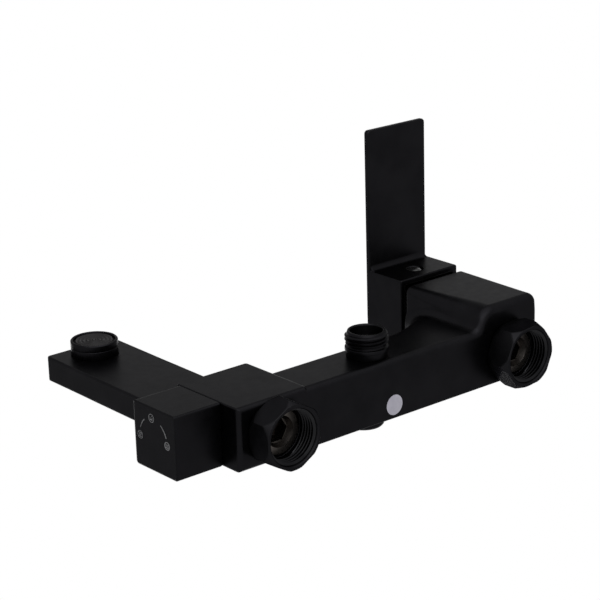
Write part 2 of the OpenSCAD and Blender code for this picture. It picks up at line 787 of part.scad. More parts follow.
body_casting();
riser_collar();
label_disc();
spout();
aerator_housing();
aerator_insert();
aerator_gasket();
hose_nipple();
hose_seal();
check_valve();
inlet_nipple_left();
inlet_nipple_right();
inlet_seals();
union_nut_left();
union_nut_right();
cartridge_shell();
cartridge_base();
port_seals();
fixed_disc();
moving_disc();
disc_carrier();
cartridge_rotor();
pivot_pin();
lever_stem();
cartridge_nut();
cover_collar();
lever_handle();
set_screw();
screw_plug();
diverter_sleeve();
diverter_seals();
diverter_plug();
diverter_stem();
diverter_nut();
knob_adaptor();
diverter_knob();
knob_marks();
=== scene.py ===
import math

import bmesh
import bpy
import numpy as np
from mathutils import Matrix, Vector


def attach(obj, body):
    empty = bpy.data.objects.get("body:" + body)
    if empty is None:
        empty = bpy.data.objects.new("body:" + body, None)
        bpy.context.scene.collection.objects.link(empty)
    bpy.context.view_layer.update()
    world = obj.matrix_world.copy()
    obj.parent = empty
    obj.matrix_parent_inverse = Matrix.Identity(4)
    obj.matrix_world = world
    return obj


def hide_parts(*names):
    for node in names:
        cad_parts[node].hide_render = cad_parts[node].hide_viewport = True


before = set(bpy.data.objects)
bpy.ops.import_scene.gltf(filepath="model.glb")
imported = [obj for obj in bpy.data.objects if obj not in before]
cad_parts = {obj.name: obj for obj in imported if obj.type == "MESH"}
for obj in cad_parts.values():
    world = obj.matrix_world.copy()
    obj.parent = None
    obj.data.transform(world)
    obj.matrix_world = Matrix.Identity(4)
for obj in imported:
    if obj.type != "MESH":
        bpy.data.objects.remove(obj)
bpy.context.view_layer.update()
MM = 0.001


# ---------------------------------------------------------------- solids from distance fields, in mm
def rounded_and(a, b, r):
    """Intersection of two fields with a round edge of radius r."""
    u, v = a + r, b + r
    return np.minimum(np.maximum(u, v), 0) + np.hypot(np.maximum(u, 0), np.maximum(v, 0)) - r


def smooth_or(a, b, k):
    """Union of two fields with a soft fillet."""
    h = np.maximum(k - np.abs(a - b), 0) / k
    return np.minimum(a, b) - h * h * k / 4


def rect(u, v, lo, hi, r):
    """Rectangle with round corners in two coordinates."""
    cu, cv = (lo[0] + hi[0]) / 2, (lo[1] + hi[1]) / 2
    a = np.abs(u - cu) - (hi[0] - lo[0]) / 2 + r
    b = np.abs(v - cv) - (hi[1] - lo[1]) / 2 + r
    return np.minimum(np.maximum(a, b), 0) + np.hypot(np.maximum(a, 0), np.maximum(b, 0)) - r


def slab(w, lo, hi):
    """Space between two parallel planes."""
    return np.abs(w - (lo + hi) / 2) - (hi - lo) / 2


def prism(P, axis, lo, hi, long_r, end_r):
    """Box with edges of long_r along one axis and end_r round its two ends."""
    i, j = [k for k in range(3) if k != axis]
    side = rect(P[i], P[j], (lo[i], lo[j]), (hi[i], hi[j]), long_r)
    return rounded_and(side, slab(P[axis], lo[axis], hi[axis]), end_r)


def rod(P, axis, centre, lo, hi, r, edge=0.3):
    """Cylinder along an axis; centre gives the other two coordinates in order."""
    i, j = [k for k in range(3) if k != axis]
    side = np.hypot(P[i] - centre[0], P[j] - centre[1]) - r
    return rounded_and(side, slab(P[axis], lo, hi), edge)


def cut(a, b, r=0.0):
    """a without b, with a round rim of radius r."""
    return np.maximum(a, -b) if r == 0 else rounded_and(a, -b, r)


def gradient(f, V, d=0.02):
    """Slope of the field at each vertex, by differences over d on each side."""
    g = np.empty_like(V)
    for k in range(3):
        step = np.zeros(3)
        step[k] = d
        g[:, k] = (f((V + step).T) - f((V - step).T)) / (2 * d)
    return g


def field_mesh(f, lo, hi, h):
    """Quads over the surface f = 0 on a grid of step h. Returns vertices, quads and normals.

    Each grid cell that the surface crosses gets one vertex, which is then moved onto the surface.
    """
    lo = np.array(lo, float) - 1.5 * h
    n = np.ceil((np.array(hi, float) - lo) / h).astype(int) + 3
    ax = [lo[k] + h * np.arange(n[k]) for k in range(3)]
    val = np.empty(n)
    for i in range(n[0]):
        X, Y, Z = np.meshgrid([ax[0][i]], ax[1], ax[2], indexing="ij")
        val[i] = f((X, Y, Z))[0]
    inside = val < 0
    c = n - 1
    total = np.zeros(tuple(c) + (3,))
    count = np.zeros(tuple(c))
    corner = [(i, j, k) for i in (0, 1) for j in (0, 1) for k in (0, 1)]
    for a in corner:
        for b in corner:
            if sum(b) - sum(a) != 1 or any(q < p for p, q in zip(a, b)):
                continue
            sa = tuple(slice(a[k], a[k] + c[k]) for k in range(3))
            sb = tuple(slice(b[k], b[k] + c[k]) for k in range(3))
            cross = inside[sa] != inside[sb]
            va, vb = val[sa][cross], val[sb][cross]
            t = va / (va - vb)
            base = np.array(a, float)
            total[cross] += base + t[:, None] * (np.array(b, float) - base)
            count[cross] += 1
    used = count > 0
    index = -np.ones(tuple(c), int)
    index[used] = np.arange(used.sum())
    cell = np.argwhere(used)
    V = lo + h * (cell + total[used] / count[used][:, None])
    start = V.copy()
    for _ in range(4):
        g = gradient(f, V)
        V = V - f(V.T)[:, None] * g / np.maximum((g * g).sum(1), 0.25)[:, None]
        V = np.clip(V, start - 0.6 * h, start + 0.6 * h)
    quads = []
    for k in range(3):
        i, j = (k + 1) % 3, (k + 2) % 3
        sa = [slice(1, c[m]) for m in range(3)]
        sb = [slice(1, c[m]) for m in range(3)]
        sa[k], sb[k] = slice(0, c[k]), slice(1, c[k] + 1)
        A, B = inside[tuple(sa)], inside[tuple(sb)]
        at = np.argwhere(A != B)
        first = A[A != B]
        off = np.array([1, 1, 1])
        off[k] = 0
        at = at + off

        def cell_at(di, dj):
            q = at.copy()
            q[:, i] -= di
            q[:, j] -= dj
            return index[q[:, 0], q[:, 1], q[:, 2]]

        Q = np.stack([cell_at(1, 1), cell_at(0, 1), cell_at(0, 0), cell_at(1, 0)], 1)
        Q[~first] = Q[~first][:, ::-1]
        quads.append(Q)
    g = gradient(f, V)
    return V, np.concatenate(quads), g / np.linalg.norm(g, axis=1)[:, None]


def add_mesh(name, V, faces, material):
    me = bpy.data.meshes.new(name)
    corners = [tuple(v) for v in np.asarray(V) * MM]
    me.from_pydata(corners, [], [tuple(int(i) for i in q) for q in faces])
    me.materials.append(material)
    me.polygons.foreach_set("use_smooth", [True] * len(me.polygons))
    me.update()
    ob = bpy.data.objects.new(name, me)
    bpy.context.scene.collection.objects.link(ob)
    return ob


def place(ob, body, slot, *nodes):
    """Puts a piece on its body, in place of the CAD nodes that it stands for; slot is not used."""
    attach(ob, body)
    if nodes:
        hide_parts(*nodes)
    return ob


def field_solid(name, f, lo, hi, h, material):
    V, Q, N = field_mesh(f, lo, hi, h)
    ob = add_mesh(name, V, Q, material)
    ob.data.normals_split_custom_set_from_vertices([tuple(v) for v in N])
    return ob


# ---------------------------------------------------------------- turned pieces and threads
def close_mesh(name, bm, material, sharp=35):
    """Object from a bmesh, smooth but for edges sharper than so many degrees."""
    for f in bm.faces:
        f.smooth = True
    for edge in bm.edges:
        edge.smooth = len(edge.link_faces) == 2 and edge.calc_face_angle(0) < math.radians(sharp)
    me = bpy.data.meshes.new(name)
    bm.to_mesh(me)
    bm.free()
    me.materials.append(material)
    ob = bpy.data.objects.new(name, me)
    bpy.context.scene.collection.objects.link(ob)
    return ob


def basis(axis):
    """Two directions across an axis, and the axis itself."""
    w = np.zeros(3)
    w["xyz".index(axis)] = 1
    u = np.zeros(3)
    u[("xyz".index(axis) + 1) % 3] = 1
    return u, np.cross(w, u), w


def soften(profile, r, steps=3):
    """Rounds each corner of a closed profile by r, or by less where its sides are short."""
    P = [np.array(p, float) for p in profile]
    out = []
    for k, p in enumerate(P):
        a, b = P[k - 1] - p, P[(k + 1) % len(P)] - p
        la, lb = np.linalg.norm(a), np.linalg.norm(b)
        cosine = np.dot(a, b) / (la * lb)
        if p[0] < 1e-6 or cosine < -0.995:
            out.append(p)
            continue
        half = math.acos(max(-1, min(1, cosine))) / 2
        reach = min(r / math.tan(half), la * 0.45, lb * 0.45)
        s, t = p + a / la * reach, p + b / lb * reach
        for m in range(steps + 1):
            w = m / steps
            out.append((1 - w) ** 2 * s + 2 * w * (1 - w) * p + w * w * t)
    return out


def turned(name, profile, axis, origin, material, seg=96, sharp=35):
    """Closed profile of (radius, height) turned round an axis through origin; height runs along the axis."""
    P = np.array(profile, float)
    bm = bmesh.new()
    u, v, w = basis(axis)
    rings = []
    for s in range(seg):
        t = 2 * math.pi * s / seg
        ring = []
        for r, z in P:
            if r < 1e-6 and rings:
                ring.append(rings[0][len(ring)])
                continue
            p = np.array(origin) + w * z + r * (u * math.cos(t) + v * math.sin(t))
            ring.append(bm.verts.new(p * MM))
        rings.append(ring)
    for s in range(seg):
        A, B = rings[s], rings[(s + 1) % seg]
        for k in range(len(P)):
            m = (k + 1) % len(P)
            corners = []
            for vert in (A[k], A[m], B[m], B[k]):
                if vert not in corners:
                    corners.append(vert)
            if len(corners) > 2:
                bm.faces.new(corners)
    bmesh.ops.recalc_face_normals(bm, faces=bm.faces)
    return close_mesh(name, bm, material, sharp)


def thread(name, axis, origin, z0, z1, root, crest, pitch, material, seg=72):
    """A screw thread as one closed ridge that winds from z0 to z1 and fades at both ends."""
    u, v, w = basis(axis)
    turns = (z1 - z0) / pitch
    steps = int(seg * turns)
    bm = bmesh.new()
    sink = 0.25 if crest > root else -0.25
    rings = []
    for s in range(steps + 1):
        t = 2 * math.pi * turns * s / steps
        fade = min(1, min(s, steps - s) / (seg * 0.18))
        top = root + (crest - root) * (0.15 + 0.85 * fade)
        z = z0 + (z1 - z0) * s / steps
        out = u * math.cos(t) + v * math.sin(t)
        section = [(root - sink, -0.46), (root, -0.42), (top, -0.07),
                   (top, 0.07), (root, 0.42), (root - sink, 0.46)]
        ring = []
        for r, q in section:
            point = np.array(origin) + w * (z + q * pitch) + out * r
            ring.append(bm.verts.new(point * MM))
        rings.append(ring)
    for A, B in zip(rings, rings[1:]):
        for k in range(len(A)):
            m = (k + 1) % len(A)
            bm.faces.new((A[k], A[m], B[m], B[k]))
    bm.faces.new(rings[0])
    bm.faces.new(rings[-1][::-1])
    bmesh.ops.recalc_face_normals(bm, faces=bm.faces)
    return close_mesh(name, bm, material, 40)


# ---------------------------------------------------------------- materials
def new_material(name):
    m = bpy.data.materials.new(name)
    m.use_nodes = True
    nt = m.node_tree
    return m, nt, nt.nodes["Principled BSDF"]


def noise(nt, scale, detail=3, rough=0.5, stretch=None):
    """Noise in object coordinates, which can be stretched."""
    co = nt.nodes.new("ShaderNodeTexCoord")
    source = co.outputs["Object"]
    if stretch:
        mp = nt.nodes.new("ShaderNodeMapping")
        mp.inputs["Scale"].default_value = stretch
        nt.links.new(source, mp.inputs["Vector"])
        source = mp.outputs["Vector"]
    n = nt.nodes.new("ShaderNodeTexNoise")
    n.inputs["Scale"].default_value = scale
    n.inputs["Detail"].default_value = detail
    n.inputs["Roughness"].default_value = rough
    nt.links.new(source, n.inputs["Vector"])
    return n.outputs["Fac"]


def ramp(nt, source, a, b, lo=0.35, hi=0.65):
    """Colour from a to b as the source goes from lo to hi."""
    r = nt.nodes.new("ShaderNodeValToRGB")
    r.color_ramp.elements[0].position = lo
    r.color_ramp.elements[1].position = hi
    r.color_ramp.elements[0].color = (*a, 1)
    r.color_ramp.elements[1].color = (*b, 1)
    nt.links.new(source, r.inputs["Fac"])
    return r.outputs["Color"]


def spread(nt, source, lo, hi):
    """Value from lo to hi over the middle of the noise."""
    r = nt.nodes.new("ShaderNodeMapRange")
    r.inputs["From Min"].default_value = 0.3
    r.inputs["From Max"].default_value = 0.7
    r.inputs["To Min"].default_value = lo
    r.inputs["To Max"].default_value = hi
    nt.links.new(source, r.inputs["Value"])
    return r.outputs["Result"]


def bumps(nt, p, layers):
    """Bump nodes in a row, one for each (source, height in mm)."""
    last = None
    for source, height in layers:
        b = nt.nodes.new("ShaderNodeBump")
        b.inputs["Strength"].default_value = 1
        b.inputs["Distance"].default_value = height * MM
        nt.links.new(source, b.inputs["Height"])
        if last:
            nt.links.new(last, b.inputs["Normal"])
        last = b.outputs["Normal"]
    nt.links.new(last, p.inputs["Normal"])


def finish(name, dark, light, rough, spec, metal=0.0, grain=900, height=0.006, coarse=60, edge=1.0,
           stretch=None):
    """Finish with a colour between dark and light, a range of roughness, and bumps of a height in mm.

    coarse and grain are the scales of the broad and the fine noise; edge is the tint at grazing angles.
    """
    m, nt, p = new_material(name)
    broad = noise(nt, coarse, 4, 0.6)
    fine = noise(nt, grain, 2, 0.5, stretch)
    nt.links.new(ramp(nt, broad, dark, light), p.inputs["Base Color"])
    nt.links.new(spread(nt, noise(nt, coarse * 4, 5, 0.65), *rough), p.inputs["Roughness"])
    p.inputs["Metallic"].default_value = metal
    p.inputs["Specular IOR Level"].default_value = spec
    p.inputs["Specular Tint"].default_value = (edge, edge, edge, 1)
    bumps(nt, p, [(broad, height * 1.5), (fine, height)])
    return m


BLACK = finish("satin_black", (0.0068, 0.0067, 0.0076), (0.0088, 0.0086, 0.0097), (0.33, 0.41), 0.5,
               metal=1.0, edge=0.555)
BLACK_NUT = finish("nut_black", (0.0082, 0.0081, 0.0090), (0.0102, 0.0100, 0.0112), (0.38, 0.46), 0.5,
                   metal=1.0, edge=0.42)
BLACK_THREAD = finish("black_thread", (0.010, 0.010, 0.011), (0.016, 0.016, 0.017), (0.24, 0.34), 0.5,
                      metal=1.0, grain=1500, height=0.004, edge=0.6)
BLACK_GLOSS = finish("black_plug", (0.003, 0.003, 0.003), (0.005, 0.005, 0.005), (0.24, 0.32), 0.3,
                     height=0.001)
NICKEL = finish("nickel_plate", (0.060, 0.054, 0.050), (0.085, 0.077, 0.071), (0.28, 0.36), 0.5,
                metal=1.0, grain=1400, height=0.0008, coarse=25, edge=0.75)
BRASS = finish("machined_brass", (0.55, 0.40, 0.16), (0.74, 0.57, 0.27), (0.22, 0.36), 0.5,
               metal=1.0, grain=500, height=0.003, coarse=30, stretch=(1, 0.2, 1))
STEEL = finish("steel", (0.42, 0.42, 0.43), (0.6, 0.6, 0.61), (0.2, 0.32), 0.5,
               metal=1.0, grain=600, height=0.003, coarse=50)
CERAMIC = finish("lapped_ceramic", (0.82, 0.81, 0.76), (0.9, 0.89, 0.85), (0.1, 0.2), 0.5,
                 grain=400, height=0.001, coarse=30)
WHITE = finish("white_plastic", (0.72, 0.72, 0.69), (0.8, 0.8, 0.77), (0.38, 0.5), 0.4,
               grain=800, coarse=50)
GREY = finish("grey_plastic", (0.011, 0.0105, 0.011), (0.019, 0.018, 0.019), (0.5, 0.6), 0.1, grain=800)
GREY_DARK = finish("dark_grey_plastic", (0.12, 0.12, 0.125), (0.17, 0.17, 0.175), (0.4, 0.5), 0.4)
BLACK_PLASTIC = finish("black_plastic", (0.008, 0.008, 0.008), (0.016, 0.016, 0.016), (0.35, 0.5), 0.3)
RUBBER = finish("black_rubber", (0.011, 0.011, 0.011), (0.02, 0.02, 0.02), (0.55, 0.7), 0.3,
                grain=1200, height=0.012, coarse=90)
PAPER = finish("label_paper", (0.31, 0.30, 0.345), (0.38, 0.37, 0.415), (0.5, 0.62), 0.2,
               grain=1500, coarse=120)
PRINT = finish("grey_print", (0.075, 0.075, 0.078), (0.10, 0.10, 0.104), (0.35, 0.45), 0.3,
               grain=1800, height=0.003, coarse=150)

# ---------------------------------------------------------------- places and sizes of the CAD part, in mm
# A place on an axis is given by its other two coordinates, in the order x, y, z.
INLETS = (-75, 75)
BACK, TOP, LOW, FRONT = -14.4, 15.4, -14.2, -42.4
BLOCK = ((-95.2, -59.3, -14.8), (-54.8, BACK, 15.8))
HOUSE = ((55.0, -67.4, -25.0), (95.0, BACK, TOP))
CARTRIDGE_AXIS = (75.0, -4.8)
KNOB_AXIS = (-41.8, 0.5)
HOSE_AT, RISER_AT = (-6.5, -28.4), (-9.2, -28.4)
AERATOR_AT = (-75, -155.8)
PLUG_AT = (75, -82)
# Grid steps of the field meshes: casting and spout, lever and knob, nuts.
CASTING_STEP, LEVER_STEP, NUT_STEP = 0.8, 0.75, 0.5

# ---------------------------------------------------------------- body casting
SWEEP_X, SWEEP_Y, SWEEP_R, SWEEP_END = 17, -83.8, 41.4, 62
FRONT_R, TOP_R, BLOCK_R, BLOCK_BACK_R = 0.9, 1.1, 0.5, 2.2
INLET_BORE_R, CARTRIDGE_BORE_R, OUTLET_R = 8.33, 18.46, 9.0
DIVERTER_R, NUT_RECESS_R = 11.0, 12.2
PAST = 30  # beyond every face, for a side that a later cut closes


def body_field(P):
    """Wall bar, swept arm, housing and diverter block, less the bores for the inner pieces."""
    X, Y, Z = P
    arc = SWEEP_R - np.hypot(X - SWEEP_X, Y - SWEEP_Y)
    flare = np.maximum(np.maximum(arc, slab(X, SWEEP_X, SWEEP_END)), HOUSE[0][1] - Y)
    plan = np.minimum(np.maximum(FRONT - Y, slab(X, *INLETS)), flare)
    # Towards the housing the underside of the arm rises, and its edge gets rounder.
    out = np.clip((FRONT - Y) / 25.0, 0, 1)
    rise = np.clip((X - SWEEP_X) / 38.0, 0, 1) * out * out * (3 - 2 * out) * 4.0
    edge_r = 2.5 + 3.0 * np.clip((X - 30) / 22, 0, 1) * np.clip((FRONT - Y) / 12, 0, 1)
    arm = rounded_and(plan, (LOW + rise - Z) * 0.97, edge_r)
    # The housing's lower edges get rounder towards the wall.
    near_wall = np.clip((Y - HOUSE[0][1]) / 45.0, 0, 1)
    house = rounded_and(HOUSE[0][0] - X, HOUSE[0][2] - Z, 3.4 + 6.2 * near_wall)
    house = rounded_and(house, X - HOUSE[1][0], 2.6 + 2.0 * near_wall)
    house = rounded_and(house, slab(Y, HOUSE[0][1], PAST), FRONT_R)
    f = smooth_or(arm, house, 5.0)
    back_r = TOP_R + 2.1 * np.clip((12 - Z) / 10, 0, 1) + 1.0 * np.clip((LOW - 2 - Z) / 8, 0, 1)
    f = rounded_and(f, Y - BACK, back_r)
    f = rounded_and(f, Z - TOP, TOP_R)
    f = rounded_and(f, HOUSE[0][1] - Y, FRONT_R)
    block = prism(P, 2, BLOCK[0], (BLOCK[1][0], PAST, BLOCK[1][2]), BLOCK_R, BLOCK_R)
    block = rounded_and(block, Y - BACK, BLOCK_BACK_R)
    f = np.minimum(f, block)
    for x in INLETS:
        f = cut(f, rod(P, 1, (x, 0), -24.4, 5, INLET_BORE_R), 0.4)
    f = cut(f, rod(P, 1, CARTRIDGE_AXIS, -90, -38, CARTRIDGE_BORE_R), 0.5)
    f = cut(f, rod(P, 2, HOSE_AT, -30, -4.2, OUTLET_R), 0.3)
    f = cut(f, rod(P, 2, RISER_AT, 5.8, 30, OUTLET_R), 0.3)
    f = cut(f, rod(P, 0, KNOB_AXIS, -110, -62, DIVERTER_R))
    return cut(f, rod(P, 0, KNOB_AXIS, -110, -89, NUT_RECESS_R), 0.3)


casting_low = (BLOCK[0][0], HOUSE[0][1], HOUSE[0][2])
casting_high = (HOUSE[1][0], BACK, BLOCK[1][2])
casting = field_solid("casting", body_field, casting_low, casting_high, CASTING_STEP, BLACK)
place(casting, "body", "black_finish", "body_casting")

# ---------------------------------------------------------------- spout
SPOUT_ROOT, TIP = BLOCK[0][1], -169.2
SPOUT_LEFT, SPOUT_RIGHT, SPOUT_LOW, SPOUT_TOP = BLOCK[0][0], BLOCK[1][0], 1.0, 14.0
SLOPE = 0.8 / 109.9
AERATOR_POCKET_R, AERATOR_BORE_R = 11.96, 10.86


def spout_field(P):
    """Flat bar that drops slightly towards its tip, with a stepped pocket for the aerator."""
    X, Y, Z = P
    level = Z + SLOPE * (SPOUT_ROOT - Y)
    outline = rect(X, Y, (SPOUT_LEFT, TIP), (SPOUT_RIGHT, 0), 1.9)
    f = rounded_and(outline, slab(level, SPOUT_LOW, SPOUT_TOP), 0.8)
    f = np.maximum(f, Y - SPOUT_ROOT)
    f = cut(f, rod(P, 2, AERATOR_AT, -10, 0.45, AERATOR_POCKET_R), 0.3)
    return cut(f, rod(P, 2, AERATOR_AT, -10, 9.0, AERATOR_BORE_R))


spout_low = (SPOUT_LEFT, TIP, 0.2)
spout_high = (SPOUT_RIGHT, SPOUT_ROOT, SPOUT_TOP)
spout = field_solid("spout_bar", spout_field, spout_low, spout_high, CASTING_STEP, BLACK)
place(spout, "body", "black_finish", "spout")

# ---------------------------------------------------------------- lever
L_LEFT, L_RIGHT, L_FRONT, L_REAR, L_LOW, L_TOP = 55.35, 94.65, -97.5, -71.1, -27.0, 14.0
BLADE_END, BLADE_THICK = -100.6, 3
SIDE_WALL, FRONT_WALL = 3, 4
PIVOT = (-68.5, -4.8)
LIFT, RELIEF = math.radians(18), 0.5
PLUG_BORE_R = 4.16


def lever_field(P):
    """Hollow block with a long flat blade below its front, and a boss inside for the stem."""
    X, Y, Z = P
    f = prism(P, 2, (L_LEFT, L_FRONT, L_LOW), (L_RIGHT, L_REAR, L_TOP), 0.8, 0.7)
    hollow_low = (L_LEFT + SIDE_WALL, L_FRONT + FRONT_WALL, L_LOW + SIDE_WALL)
    hollow_high = (L_RIGHT - SIDE_WALL, -50, L_TOP - SIDE_WALL)
    f = cut(f, prism(P, 1, hollow_low, hollow_high, 1.0, 0.5), 0.5)
    blade = rect(X, Z, (L_LEFT, BLADE_END), (L_RIGHT, 0), 1.8)
    blade = rounded_and(blade, slab(Y, L_FRONT, L_FRONT + BLADE_THICK), 0.7)
    # a fillet of 3 mm in the corner between the blade and the block
    y, z = Y - (L_FRONT + BLADE_THICK), L_LOW - Z
    fillet = np.maximum(3.0 - np.hypot(y - 3.0, z - 3.0), slab(X, L_LEFT + 0.75, L_RIGHT - 0.75))
    fillet = np.maximum(fillet, np.maximum(slab(y, -1, 3.0), slab(z, -1, 3.0)))
    f = np.minimum(np.minimum(f, blade), fillet)
    boss = prism(P, 1, (67.5, L_FRONT + BLADE_THICK, -12.3), (82.5, -76.5, 2.7), 0.5, 0.5)
    f = np.minimum(f, boss)
    f = cut(f, prism(P, 1, (71.3, -90.5, -8.5), (78.7, -60, -1.1), 0.2, 0.2))
    # The rear is cut back on a slant, so the lifted lever stays clear of the housing.
    rear = (Y - PIVOT[0]) * math.cos(LIFT) + (Z - PIVOT[1]) * math.sin(LIFT)
    f = rounded_and(f, rear - RELIEF, 0.5)
    return cut(f, rod(P, 2, PLUG_AT, -40, -24.2, PLUG_BORE_R), 0.35)


lever_low = (L_LEFT, L_FRONT, BLADE_END)
lever_high = (L_RIGHT, L_REAR, L_TOP)
lever = field_solid("lever", lever_field, lever_low, lever_high, LEVER_STEP, BLACK)
place(lever, "lever", "black_finish", "lever_handle")
plug_profile = [(0, 2.9), (4.05, 2.9), (4.05, 0.9), (3.7, 0.55), (3.3, 0.62), (3.0, 0.5), (2.7, 0.2),
                (2.1, -0.1), (1.2, -0.28), (0, -0.34)]
plug = turned("lever_plug", plug_profile, "z", (*PLUG_AT, L_LOW), BLACK_GLOSS, 64, 50)
place(plug, "lever", "gloss_plug", "screw_plug")

# ---------------------------------------------------------------- diverter knob
KNOB = ((-121.0, -57.1, -14.8), (-95.35, -26.5, 15.8))
KNOB_HOLLOW = ((-117, -54.3, -12.0), (-80, -29.3, 13.0))
HUB_R, HUB_BORE_R = 7.95, 6.01


def knob_field(P):
    """Square cap, open towards the block, with a bored hub for the adaptor."""
    f = prism(P, 0, *KNOB, 0.9, 0.2)
    f = cut(f, prism(P, 0, *KNOB_HOLLOW, 1.0, 0.3), 0.4)
    f = np.minimum(f, rod(P, 0, KNOB_AXIS, -118, -100.7, HUB_R))
    return cut(f, rod(P, 0, KNOB_AXIS, -117, -90, HUB_BORE_R))


knob = field_solid("knob", knob_field, *KNOB, LEVER_STEP, BLACK)
place(knob, "diverter", "black_finish", "diverter_knob")


# ---------------------------------------------------------------- knob pictograms, as (y, z) outlines
def plates(name, outlines, x0, x1, material):
    """Flat printed shapes on the knob's end face, each a list of (y, z) corners."""
    bm = bmesh.new()
    for outline in outlines:
        low = [bm.verts.new((x1 * MM, y * MM, z * MM)) for y, z in outline]
        high = [bm.verts.new((x0 * MM, y * MM, z * MM)) for y, z in outline]
        n = len(outline)
        bm.faces.new(low)
        bm.faces.new(high[::-1])
        for k in range(n):
            bm.faces.new((low[k], high[k], high[(k + 1) % n], low[(k + 1) % n]))
    bmesh.ops.recalc_face_normals(bm, faces=bm.faces)
    return close_mesh(name, bm, material)


def ring_halves(c, outer, inner, n=20):
    """A full ring as the outlines of its two halves."""
    halves = []
    for start in (0, 180):
        t = [math.radians(start + 180 * k / n) for k in range(n + 1)]
        out = [(c[0] + outer * math.cos(a), c[1] + outer * math.sin(a)) for a in t]
        back = [(c[0] + inner * math.cos(a), c[1] + inner * math.sin(a)) for a in reversed(t)]
        halves.append(out + back)
    return halves


def dot(c, r, n=18):
    turns = [2 * math.pi * k / n for k in range(n)]
    return [(c[0] + r * math.cos(t), c[1] + r * math.sin(t)) for t in turns]


def bar(c, a, b, width):
    """Straight stroke between two points that are given from the centre c."""
    a = np.array(c, float) + np.array(a, float)
    b = np.array(c, float) + np.array(b, float)
    d = b - a
    d = np.array((-d[1], d[0])) / np.linalg.norm(d) / 2
    return [tuple(a + d * width), tuple(b + d * width), tuple(b - d * width), tuple(a - d * width)]


def arc_stroke(centre, r, a0, a1, w0, w1, n=14):
    """Arc from angle a0 to a1, whose width goes from w0 to w1."""
    out, back = [], []
    for k in range(n + 1):
        w = k / n
        a = math.radians(a0 + (a1 - a0) * w)
        half = (w0 * (1 - w) + w1 * w) / 2
        out.append((centre[0] + (r + half) * math.cos(a), centre[1] + (r + half) * math.sin(a)))
        back.append((centre[0] + (r - half) * math.cos(a), centre[1] + (r - half) * math.sin(a)))
    return out + back[::-1]


ARC_CENTRE, ARC_R = (-42.8, 0.4), 10.2
SPOUT_MARK, HAND_MARK, RAIN_MARK = (-43.8, -9.6), (-52.9, 0.7), (-32.7, 0.5)
PRINT_OUT, PRINT_IN = -121.1, -120.98
shapes = ring_halves(SPOUT_MARK, 2.05, 1.72)
shapes.append(bar(SPOUT_MARK, (-1.1, 0.7), (0.9, 0.7), 0.5))
shapes.append(bar(SPOUT_MARK, (0.65, 0.45), (0.65, -0.3), 0.5))
shapes.append(dot((SPOUT_MARK[0] + 0.62, SPOUT_MARK[1] - 1.0), 0.26))
shapes.append(bar(SPOUT_MARK, (-0.8, 0.45), (-0.8, -0.6), 0.4))
for row in range(3):
    for col in range(3 - row % 2):
        y = HAND_MARK[0] - 1.0 + col * 1.0 + (row % 2) * 0.5
        shapes.append(dot((y, HAND_MARK[1] - 0.9 + row * 0.9), 0.34))
shapes += ring_halves(HAND_MARK, 1.95, 1.75)
shapes += ring_halves(RAIN_MARK, 2.0, 1.5)
for k in range(4):
    y = -0.95 + k * 0.63
    shapes.append(bar(RAIN_MARK, (y, -0.95), (y, 0.3), 0.3))
shapes.append(bar(RAIN_MARK, (-1.2, 0.75), (1.2, 0.75), 0.5))
shapes.append(arc_stroke(ARC_CENTRE, ARC_R, 199, 232, 0.25, 0.55))
shapes.append(arc_stroke(ARC_CENTRE, ARC_R, 341, 304, 0.75, 0.35))
marks = plates("pictograms", shapes, PRINT_OUT, PRINT_IN, PRINT)
place(marks, "diverter", "grey_print", "knob_marks")

# ---------------------------------------------------------------- union nuts
THREAD_MINOR, THREAD_MAJOR, NUT_PITCH = 12.06, 13.2, 1.81
NUT_HALF_FLATS, NUT_REACH, NUT_INNER_END = 15.0, 17.4, -13.9
NUT_NECK_R = 8.62
COS_30 = 0.8660254
RIGHT_NUT_TURN = 24


def nut_field(x, turn):
    """Hexagon nut on the inlet at x, turned about its axis by so many degrees; its mouth is at y = 0."""
    c, s = math.cos(math.radians(turn)), math.sin(math.radians(turn))

    def f(P):
        X, Y, Z = P
        u, w = (X - x) * c + Z * s, -(X - x) * s + Z * c
        hexagon = np.maximum(np.abs(u), np.abs(u * 0.5 + w * COS_30))
        hexagon = np.maximum(hexagon, np.abs(u * 0.5 - w * COS_30)) - NUT_HALF_FLATS
        r = np.hypot(u, w)
        chamfer = 0.866 * (r - 15.75) + 0.5 * np.maximum(Y - (-0.6), -13.3 - Y)
        ends = np.maximum(slab(Y, NUT_INNER_END, 0.0), chamfer)
        g = rounded_and(hexagon, ends, 0.35)
        bore = np.maximum(r - THREAD_MAJOR, slab(Y, -12.1, 5))
        g = cut(g, bore, 0.25)
        mouth = r - 12.9 - np.maximum(Y + 1.5, -9) * 0.55
        g = cut(g, np.maximum(mouth, slab(Y, -1.6, 5)), 0.2)
        return cut(g, rod(P, 1, (x, 0), -30, 5, NUT_NECK_R), 0.2)

    return f


for side, x, turn in (("left", INLETS[0], 0), ("right", INLETS[1], RIGHT_NUT_TURN)):
    nut_low = (x - NUT_REACH, NUT_INNER_END, -NUT_REACH)
    nut_high = (x + NUT_REACH, 0, NUT_REACH)
    nut = field_solid(f"nut_{side}", nut_field(x, turn), nut_low, nut_high, NUT_STEP, BLACK_NUT)
    place(nut, f"{side}_nut", "black_finish", f"union_nut_{side}")
    ridge = thread(f"nut_thread_{side}", "y", (x, 0, 0), -9.6, -1.3, THREAD_MAJOR, THREAD_MINOR,
                   NUT_PITCH, BLACK_THREAD)
    place(ridge, f"{side}_nut", "black_finish")

